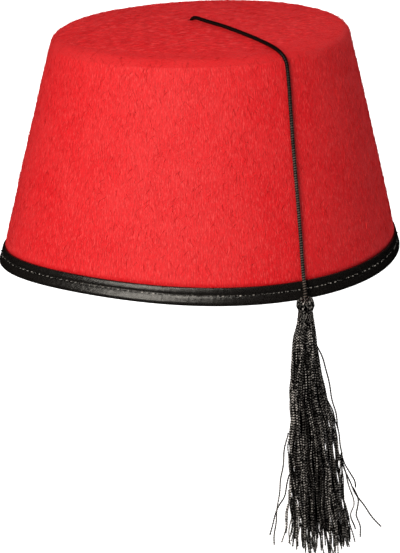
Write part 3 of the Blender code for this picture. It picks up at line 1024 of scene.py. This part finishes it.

# %% [markdown]
# ## Thread for the tassel
# Tassels of this kind are made of rayon: a smooth, bright thread, here dyed black. The crests of its twist
# catch the light; that light is a painted highlight here, a paler colour on each crest that stays in sight
# at a distance where one thread is only a dot wide. The gaps between them stay black. The painted highlight
# is brighter on some threads than on others, and in some spots. The seam is sewn with the same kind of
# thread, whose painted highlight is more even, and which is shinier.

# %% Tassel thread finish
RAYON_BLACK = (0.0010, 0.0008, 0.0008, 1)
RAYON_PAINTED_GLINT = (1.00, 0.94, 0.90, 1)
HEAD_PAINTED_GLINT = (0.60, 0.56, 0.53, 1)
WRAP_PAINTED_GLINT = (0.60, 0.56, 0.53, 1)
SEAM_PAINTED_GLINT = (0.48, 0.45, 0.42, 1)


def finish_rayon(name, glint_colour, least=0.04, specular=0.32):
    """Black thread, crests a painted highlight; least is how bright the darkest thread is beside the
    brightest.
    """
    material, tree, shader = new_finish(name, roughness=0.24, specular=specular)
    # Painted highlight: a pale crest twice each turn of the twist, fainter on some threads and in some spots.
    wave = math_of(tree, "SINE", math_of(tree, "MULTIPLY", value_of(tree, "turns"), 4 * math.pi))
    crest = remap(tree, wave, 0.0, 0.5, 0.0, 1.0)
    spots = remap(tree, noise_of(tree, position_of(tree), 0.0014, 2), 0.40, 0.54, 0.03, 1.0)
    thread = math_of(tree, "POWER", value_of(tree, "shade"), 1.7)
    bright = math_of(tree, "MULTIPLY", spots, math_of(tree, "MULTIPLY_ADD", thread, 1 - least, least))
    colour = mix_colours(tree, math_of(tree, "MULTIPLY", crest, bright), RAYON_BLACK, glint_colour)
    link_inputs(tree, shader, {"Base Color": colour})
    return material


black_rayon = finish_rayon("black_rayon", RAYON_PAINTED_GLINT)
head_rayon = finish_rayon("head_rayon", HEAD_PAINTED_GLINT)
wrap_rayon = finish_rayon("wrap_rayon", WRAP_PAINTED_GLINT)
seam_rayon = finish_rayon("seam_rayon", SEAM_PAINTED_GLINT, least=0.6, specular=1.0)

# %% [markdown]
# ## The stitches of the tape
# The seam is a plain running stitch in black thread. Each stitch comes up through the tape, lies on it for
# a little over two millimetres and goes down again, and the same shows inside the hat. Each guide is a low
# arc, sunk into the tape at both ends. Every second stitch is a little looser and stands prouder, as a hand
# or an old machine leaves them.

# %% Stitches
STITCH_LENGTH = 0.0024
STITCH_RADIUS = 0.00030
STITCH_SUNK = 0.00060
STITCH_DROP = 0.00025
STITCH_PROUD = 0.00036
STITCH_SLANT = 0.0002


def stitch_guides():
    guides = []
    turn = np.linspace(-0.5, 0.5, 7)
    for number in range(STITCHES):
        shares = (number + 0.5) / STITCHES + turn * STITCH_LENGTH / rim_length
        loose = STITCH_PROUD * (1.15 - 0.8 * (number % 2))
        proud = loose - STITCH_SUNK * (2 * np.abs(turn)) ** 2.5
        bearings = bearings_at(shares, TAPE_HEIGHT / 2)
        slant = SEAM_HEIGHT - STITCH_DROP + STITCH_SLANT * turn
        guides.append(hat_points(bearings, slant, fold_in - outer_radius - proud))
        guides.append(hat_points(bearings, slant, fold_in + outer_radius + proud))
    return guides


stitches = grow("tape_stitches", guide_mesh("stitches", stitch_guides()), yarn, {
    "Yarn radius": STITCH_RADIUS, "Flatness": 0.8, "Twist length": 0.0048, "Step": 0.0003, "Sides": 6,
    "Seed": 21, "Material": seam_rayon,
})
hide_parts("edge_binding")

# %% [markdown]
# ## The tassel's shape
# A bundle of threads is laid over the cord's end, folded down and bound at the neck. Below the wrap the
# threads spread by their own stiffness into a long skirt, which leans a little and ends in a ragged hem. A
# short table gives its outline, in shares of its length and its half width, as a maker would note it from a
# sketch.

# %% Tassel shape
HEAD_LENGTH = 0.0068
HEAD_WIDTH = 0.0092
NECK_LENGTH = 0.0055
NECK_WIDTH = 0.0051
SKIRT_LENGTH = 0.1260
SKIRT_WIDTH = 0.0320
SKIRT_DEPTH = 0.0270
HEAD_TOP = Vector(ROUTE[-1]) - Vector((0, 0, GAP))

Section = namedtuple("Section", "drop half_width lean")
SKIRT = (
    Section(0.00, 0.235, 0.000),
    Section(0.07, 0.344, -0.004),
    Section(0.16, 0.425, -0.003),
    Section(0.24, 0.490, -0.001),
    Section(0.33, 0.580, 0.003),
    Section(0.42, 0.684, 0.016),
    Section(0.50, 0.774, 0.020),
    Section(0.59, 0.833, 0.024),
    Section(0.77, 0.850, 0.033),
    Section(0.86, 0.930, 0.043),
    Section(1.00, 1.060, 0.054),
)


def look_up(table, column, drop):
    """Reads a column of a table at some shares of the way down."""
    return np.interp(drop, [row.drop for row in table], [getattr(row, column) for row in table])


def round_tassel(bearings, reach, drop):
    """Points round the line straight down from the tassel's top, at a drop in metres."""
    return np.stack([
        HEAD_TOP.x + reach * np.cos(bearings),
        HEAD_TOP.y + reach * np.sin(bearings),
        HEAD_TOP.z - drop + 0 * bearings,
    ], axis=-1)


def skirt_level(drop):
    """The height of a share of the way down the skirt."""
    return HEAD_TOP.z - HEAD_LENGTH - NECK_LENGTH - SKIRT_LENGTH * drop


def skirt_points(drop, bearing, share):
    """Points of the skirt, with share 0 on its middle line and 1 on its outside."""
    reach = look_up(SKIRT, "half_width", drop) * share / 2
    x = HEAD_TOP.x + SKIRT_DEPTH * reach * np.cos(bearing)
    y = HEAD_TOP.y + SKIRT_LENGTH * look_up(SKIRT, "lean", drop) + SKIRT_WIDTH * reach * np.sin(bearing)
    return np.stack([x, y, skirt_level(drop) + 0 * x], axis=-1)


# %% [markdown]
# ## The skirt's threads
# Each thread starts under the wrap, wanders a little between its neighbours, and hangs down to its own
# length. Threads gather into loose locks, cross near the neck, and spread near the hem. In a few narrow
# slits the locks have come apart, so that light shows through; a short table gives them as the camera sees
# them. The numbers come from one seeded random generator, so the tassel is the same each time.

# %% Skirt threads
SKIRT_THREADS = 190
THREAD_RADIUS = 0.00048
THREAD_TWIST = 0.0028
THREAD_STEP = 0.00047
LOCKS = 16
GUIDE_POINTS = 48
USUAL_LENGTH = 0.955
HEM_LOCK = 0.0034
WANDER = 0.00035
WANDER_LOW = 0.0004
SKIRT_SHIFT = 0.005
HEM_START = 0.84
HEM_REACH = 0.11
SLIT_FADE = 0.8
random = np.random.default_rng(11)

Slit = namedtuple("Slit", "y z y_end z_end half_width")
SLITS = (
    Slit(0.0508, -0.0309, 0.0526, -0.0467, 0.0006),
    Slit(0.0534, -0.0653, 0.0543, -0.0709, 0.0006),
    Slit(0.0516, -0.0773, 0.0523, -0.0842, 0.0006),
    Slit(0.0555, -0.0759, 0.0567, -0.0900, 0.0006),
    Slit(0.0584, -0.0790, 0.0592, -0.0880, 0.0005),
    Slit(0.0571, -0.0932, 0.0587, -0.1023, 0.0006),
    Slit(0.0599, -0.1103, 0.0604, -0.1160, 0.0005),
    Slit(0.0367, -0.1079, 0.0376, -0.1136, 0.0006),
    Slit(0.0379, -0.1170, 0.0387, -0.1250, 0.0006),
    Slit(0.0331, -0.0764, 0.0333, -0.0837, 0.0006),
)


def seen_in_plane(way):
    """Where the camera sees points on the upright plane through the tassel's middle, and the scale there."""
    share = (HEAD_TOP.x - EYE.x) / (way[:, 0] - EYE.x)
    return np.array(EYE) + (way - np.array(EYE)) * share[:, None], share


def open_slits(way):
    """Moves a thread aside where it would cross a slit, to the side on which it mostly lies."""
    for slit in SLITS:
        seen, share = seen_in_plane(way)
        down = (slit.z - seen[:, 2]) / (slit.z - slit.z_end)
        near = np.abs(down - 0.5) < SLIT_FADE
        if near.any():
            away = seen[:, 1] - blend(slit.y, slit.y_end, down)
            side = 1.0 if away[near].mean() >= 0 else -1.0
            reach = slit.half_width * np.cos(math.pi * (down - 0.5) / SLIT_FADE / 2) ** 2 * near
            moved = side * np.sqrt(np.maximum(away * side, 0) ** 2 + reach ** 2)
            way[:, 1] += np.where(near, moved - away, 0.0) / share
    return way


def gather_hem(way, drop):
    """Draws the lower end of a thread to the lock that it hangs in, as the camera sees them."""
    seen, share = seen_in_plane(way)
    number = round((seen[-1, 1] - HEAD_TOP.y) / HEM_LOCK)
    lock = (number + 0.22 * math.sin(5 * number)) * HEM_LOCK + HEAD_TOP.y
    pull = random.uniform(0.1, 0.62) * np.clip((drop - HEM_START) / HEM_REACH, 0, 1) ** 1.2
    way[:, 1] += (lock - seen[-1, 1]) * pull / share
    return way


def wave_along(drop, slowest, fastest):
    """A wave of chance length and start along a thread."""
    return np.sin(random.uniform(slowest, fastest) * drop + random.uniform(0, 6.28))


def skirt_guides():
    """Guide lines of all skirt threads."""
    guides = []
    for _ in range(SKIRT_THREADS):
        bearing = random.uniform(0, 2 * math.pi)
        lock = (round(bearing / (2 * math.pi) * LOCKS) + 0.15 * random.normal()) / LOCKS * 2 * math.pi
        end_bearing = blend(bearing, lock, random.uniform(0.15, 0.6))
        start_bearing = bearing + random.normal() * 0.55
        share = math.sqrt(random.uniform(0.25, 1.0))
        length = USUAL_LENGTH + 0.016 * random.normal() + 0.05 * random.uniform(0, 1) ** 5
        drop = np.linspace(-0.012, min(length, 1.0), GUIDE_POINTS)
        settle = np.clip(drop / 0.25, 0, 1)
        bearings = blend(start_bearing, end_bearing, settle ** 0.7)
        bearings += 0.10 * wave_along(drop, 3, 8) * settle
        shares = blend(share ** 0.5, share, settle) + 0.05 * wave_along(drop, 6, 14) * settle
        way = skirt_points(np.maximum(drop, 0), bearings, np.clip(shares, 0.05, 1.04))
        way[:, 2] = skirt_level(drop)
        for axis in (0, 1):
            way[:, axis] += (WANDER + WANDER_LOW * np.clip(drop, 0, 1)) * wave_along(drop, 14, 34)
        guides.append(gather_hem(open_slits(way), drop))
    return guides


def side_of(way):
    """The bearing on which a thread ends, seen from the skirt's middle."""
    return math.atan2(way[-1][1] - HEAD_TOP.y - SKIRT_SHIFT, way[-1][0] - HEAD_TOP.x)


THREAD = {
    "Yarn radius": THREAD_RADIUS, "Twist length": THREAD_TWIST, "Step": THREAD_STEP, "Material": black_rayon,
}
guides = sorted(skirt_guides(), key=side_of)
quarter = len(guides) // 4 + 1
for place, side in enumerate(("inner", "front", "outer", "rear")):
    part = guide_mesh(side, guides[place * quarter:(place + 1) * quarter])
    piece = grow("skirt_threads_" + side, part, yarn, {**THREAD, "Seed": place})
    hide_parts("tassel")

# %% [markdown]
# ## Threads that stray
# A few threads have worked loose and stand off the skirt. They make the tassel look soft, so they are listed
# one by one, each as a few points of its path in the plane of the tassel's middle.

# %% Stray threads
STRAYS_MM = (
    ((32.6, -70.9), (30.3, -84.0), (28.0, -100.8), (26.8, -109.8), (25.4, -119.4), (24.3, -133.0)),
    ((32.9, -94.2), (30.3, -105.2), (27.3, -110.4), (25.7, -115.2), (22.8, -124.7), (22.2, -127.3)),
    ((32.8, -97.5), (32.4, -102.7), (30.1, -115.8), (29.7, -122.5), (27.8, -129.4)),
    ((33.2, -104.3), (32.7, -109.8), (32.0, -121.6), (30.9, -128.6)),
    ((33.4, -106.5), (33.2, -112.0), (34.7, -118.6), (34.6, -125.6), (34.0, -134.2)),
    ((59.5, -84.0), (60.9, -89.4), (64.0, -95.0), (66.4, -100.5), (66.6, -103.8)),
    ((59.3, -82.8), (60.6, -90.5), (65.4, -103.7), (71.7, -114.9), (76.1, -121.2), (79.1, -125.3)),
    ((60.2, -87.3), (62.5, -98.1), (65.1, -108.0), (66.5, -116.0), (64.9, -120.4), (67.1, -129.8)),
    ((65.9, -104.5), (68.5, -112.6), (68.2, -117.4), (67.4, -120.6), (69.1, -126.6), (69.5, -132.7)),
    ((48.4, -24.8), (49.8, -28.7), (53.0, -38.9), (54.3, -48.3), (57.0, -61.5), (58.4, -70.6)),
    ((50.6, -48.2), (53.2, -55.4), (56.1, -61.4), (56.9, -65.6), (58.4, -72.8), (60.0, -84.0)),
    ((38.3, -12.9), (36.4, -19.7), (35.9, -24.3), (35.9, -35.2), (35.2, -44.9)),
    ((55.8, -74.8), (58.2, -82.2), (59.7, -89.5), (60.3, -99.6), (61.0, -110.9)),
)
STRAY_STEP = 0.002
STRAY_DEPTH = 0.003
STRAY_RADIUS = 0.00052
CURL = (0.00060, 0.00025)
CURL_LENGTH = (0.0040, 0.0026)


def stray_guides():
    guides = []
    for points in STRAYS_MM:
        depth = STRAY_DEPTH * random.normal()
        curl = random.uniform(0, 6.28)
        way = smooth_path([(HEAD_TOP.x + depth, y / 1000, z / 1000) for y, z in points], STRAY_STEP)
        away = distances_along(way)
        way[:, 0] += CURL[0] * np.cos(away / CURL_LENGTH[0] + curl)
        way[:, 1] += CURL[1] * np.sin(away / CURL_LENGTH[1] + curl)
        guides.append(way)
    return guides


strays = grow("stray_threads", guide_mesh("strays", stray_guides()), yarn, {
    **THREAD, "Yarn radius": STRAY_RADIUS, "Seed": 9,
})
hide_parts("tassel")

# %% [markdown]
# ## The packed middle of the skirt
# Between the threads the tassel is dark, because many more threads lie behind those that show. A body with
# a fine ribbed surface stands for them. It fills the head and the neck, stays well inside the skirt, and
# closes above the hem.

# %% Packed middle
MIDDLE_SHARE = 0.50
CORE_SHARE = 0.62
MIDDLE_SHIFT = 0.0016
MIDDLE_AROUND = 160
MIDDLE_ROWS = 60
MIDDLE_END = 0.87
HEAD_ROWS = 8


def make_middle(material):
    bearings = angles_round(MIDDLE_AROUND)
    rings = []
    for drop in np.linspace(0.05, 1.0, HEAD_ROWS):
        reach = HEAD_WIDTH / 2 * CORE_SHARE * math.sin(math.pi * min(drop, 0.7)) ** 0.5
        rings.append(round_tassel(bearings, reach, HEAD_LENGTH * drop))
    for drop in np.linspace(0.0, MIDDLE_END, MIDDLE_ROWS):
        ribs = 1 + 0.05 * np.sin(bearings * 40 + 30 * drop) + 0.04 * np.sin(bearings * 7 + 5 * drop)
        closing = math.sqrt(max(0.02, min(1.0, (MIDDLE_END + 0.01 - drop) / 0.06)))
        ring = skirt_points(np.full(MIDDLE_AROUND, drop), bearings, MIDDLE_SHARE * ribs * closing)
        rings.append(ring - (0, MIDDLE_SHIFT * min(1.0, drop / 0.2), 0))
    start = np.array(HEAD_TOP) - (0, 0, HEAD_LENGTH * 0.04)
    end = skirt_points(np.array([MIDDLE_END + 0.003]), np.array([0.0]), np.array([0.0]))[0]
    mesh = skin("middle", np.stack(rings), start, end)
    return show_piece("packed_threads", mesh, material)


middle = make_middle(black_rayon)
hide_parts("tassel")

# %% [markdown]
# ## The folded head
# Above the wrap the threads are folded over the cord's end, so the head is a round bulb of threads that run
# from the top down to the neck. They part where the cord goes in, which leaves a small V between two humps.

# %% Head
HEAD_THREADS = 58
HEAD_SIDES = 6
HEAD_THREAD_RADIUS = 0.0004
HEAD_HUMP = 0.0007
Girth = namedtuple("Girth", "drop width")
HEAD = (
    Girth(0.00, 0.30),
    Girth(0.05, 0.62),
    Girth(0.16, 0.90),
    Girth(0.36, 1.06),
    Girth(0.60, 1.04),
    Girth(0.82, 0.88),
    Girth(1.00, 0.72),
    Girth(1.12, 0.62),
)


def head_guides():
    guides = []
    drop = np.linspace(0.0, HEAD[-1].drop, 24)
    for number in range(HEAD_THREADS):
        bearing = 4 * math.pi * number / HEAD_THREADS + random.normal() * 0.05
        bearings = bearing + random.uniform(-0.25, 0.45) * drop
        layer = 1.0 - 0.09 * (number % 2)
        width = (look_up(HEAD, "width", drop) * HEAD_WIDTH / 2 - HEAD_THREAD_RADIUS) * layer
        width *= 1 + 0.07 * np.cos(2 * bearings) * np.sin(math.pi * np.clip(drop, 0, 1))
        lift = HEAD_HUMP * np.abs(np.sin(bearings)) * np.exp(-(drop / 0.25) ** 2)
        guides.append(round_tassel(bearings, width, HEAD_LENGTH * drop + HEAD_THREAD_RADIUS - lift))
    return guides


head = grow("folded_head", guide_mesh("head", head_guides()), yarn, {
    **THREAD, "Step": 0.00025, "Sides": HEAD_SIDES, "Twist length": 0.0052, "Seed": 5,
    "Material": head_rayon,
})
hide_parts("tassel")

# %% [markdown]
# ## The wrap round the neck
# The neck is bound with many close turns of the same thread. One guide winds down round the neck as a
# helix, and a second layer lies in the gaps of the first.

# %% Neck wrap
WRAP_TURNS = 9
WRAP_RADIUS = 0.00036
POINTS_PER_TURN = 28
LAYERS_OUT = (0.00016, 0.00062)
WRAP_SWELL = 0.00022
WRAP_SAG = 0.00012


def wrap_guides():
    guides = []
    tall = NECK_LENGTH - 2 * GAP - 2 * WRAP_RADIUS
    share = np.linspace(0, 1, WRAP_TURNS * POINTS_PER_TURN)
    for layer, out in enumerate(LAYERS_OUT):
        angles = 2 * math.pi * (share * WRAP_TURNS + 0.5 * layer)
        reach = NECK_WIDTH / 2 + GAP + out + WRAP_SWELL * np.sin(math.pi * share)
        sag = WRAP_SAG * np.sin(angles * 0.37 + layer)
        guides.append(round_tassel(angles, reach, HEAD_LENGTH + GAP + WRAP_RADIUS + tall * share - sag))
    return guides


wrap = grow("neck_wrap", guide_mesh("wrap", wrap_guides()), yarn, {
    "Yarn radius": WRAP_RADIUS, "Flatness": 0.85, "Step": 0.0005, "Sides": 6, "Seed": 6,
    "Material": wrap_rayon,
})
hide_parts("tassel_neck_wrap")

# %% [markdown]

# %% [markdown]
# ## Floor and light
# The picture was taken in a bright studio: the ground behind the hat is plain white, and one broad soft
# light stands to the left of the camera and a little above it. A weaker one behind the hat lights its top,
# though not its shine, and white light from all round fills the shadows. The floor sweeps up into a wide
# bowl, so that it stays plain from every side.

# %% Studio
FLOOR_LEVEL = -0.165
FLOOR_REACH = 12.0
FLOOR_RISE = 6.0
KEY_TURN = -30.5
KEY_HEIGHT = 25.0
KEY_DISTANCE = 1.6
KEY_SIZE = 0.7
KEY_WATTS = 20.5
KEY_COLOUR = (1.0, 0.94, 0.84)
BACK_PLACE = Vector((-1.45, 1.3, 0.95))
BACK_SIZE = 1.4
BACK_WATTS = 19.0
FILL = 0.33
FLOOR_SIDES = 48
FLOOR_FLAT = 0.6
FLOOR_GLOW = 0.85


def add_floor():
    angles = angles_round(FLOOR_SIDES)
    circle = np.stack([np.cos(angles), np.sin(angles), 0 * angles], axis=-1) * FLOOR_REACH
    rings = []
    for share in (0.0005, 0.2, 0.4, 0.6, 0.75, 0.87, 0.95, 1.0):
        rise = FLOOR_RISE * max(0.0, (share - FLOOR_FLAT) / (1 - FLOOR_FLAT)) ** 2
        rings.append(circle * share + (0, 0, FLOOR_LEVEL + rise))
    mesh = skin("floor", rings, start_pole=(0, 0, FLOOR_LEVEL))
    material, _, shader = new_finish("pale_floor", roughness=0.9, specular=0.1)
    shader.inputs["Base Color"].default_value = (0.9, 0.9, 0.9, 1)
    shader.inputs["Emission Color"].default_value = (1, 1, 1, 1)
    shader.inputs["Emission Strength"].default_value = FLOOR_GLOW
    mesh.materials.append(material)
    floor = new_object("floor", mesh)
    floor.visible_diffuse = False
    floor.visible_glossy = False
    floor.visible_shadow = False


def add_soft_light(name, place, size, watts, colour=(1, 1, 1)):
    """A square lamp that faces the middle of the hat."""
    data = bpy.data.lights.new(name, "AREA")
    data.shape = "SQUARE"
    data.size = size
    data.energy = watts
    data.color = colour
    lamp = new_object(name, data)
    towards_hat = Vector((0, 0, SIDE_HEIGHT / 2)) - place
    lamp.matrix_world = Matrix.Translation(place) @ towards_hat.to_track_quat("-Z", "Y").to_matrix().to_4x4()
    lamp.visible_camera = False
    return lamp


def key_place():
    turn, height = math.radians(KEY_TURN), math.radians(KEY_HEIGHT)
    aside = Vector((math.cos(turn) * math.cos(height), math.sin(turn) * math.cos(height), math.sin(height)))
    return Vector((0, 0, SIDE_HEIGHT / 2)) + aside * KEY_DISTANCE


def add_fill():
    world = bpy.data.worlds.new("studio")
    bpy.context.scene.world = world
    world.use_nodes = True
    light = world.node_tree.nodes["Background"].inputs
    light["Color"].default_value = (1, 1, 1, 1)
    light["Strength"].default_value = FILL
    world.cycles_visibility.glossy = False


add_floor()
add_soft_light("key", key_place(), KEY_SIZE, KEY_WATTS, KEY_COLOUR)
back = add_soft_light("back", BACK_PLACE, BACK_SIZE, BACK_WATTS)
back.visible_glossy = False
add_fill()
bpy.context.scene.view_settings.view_transform = "Standard"
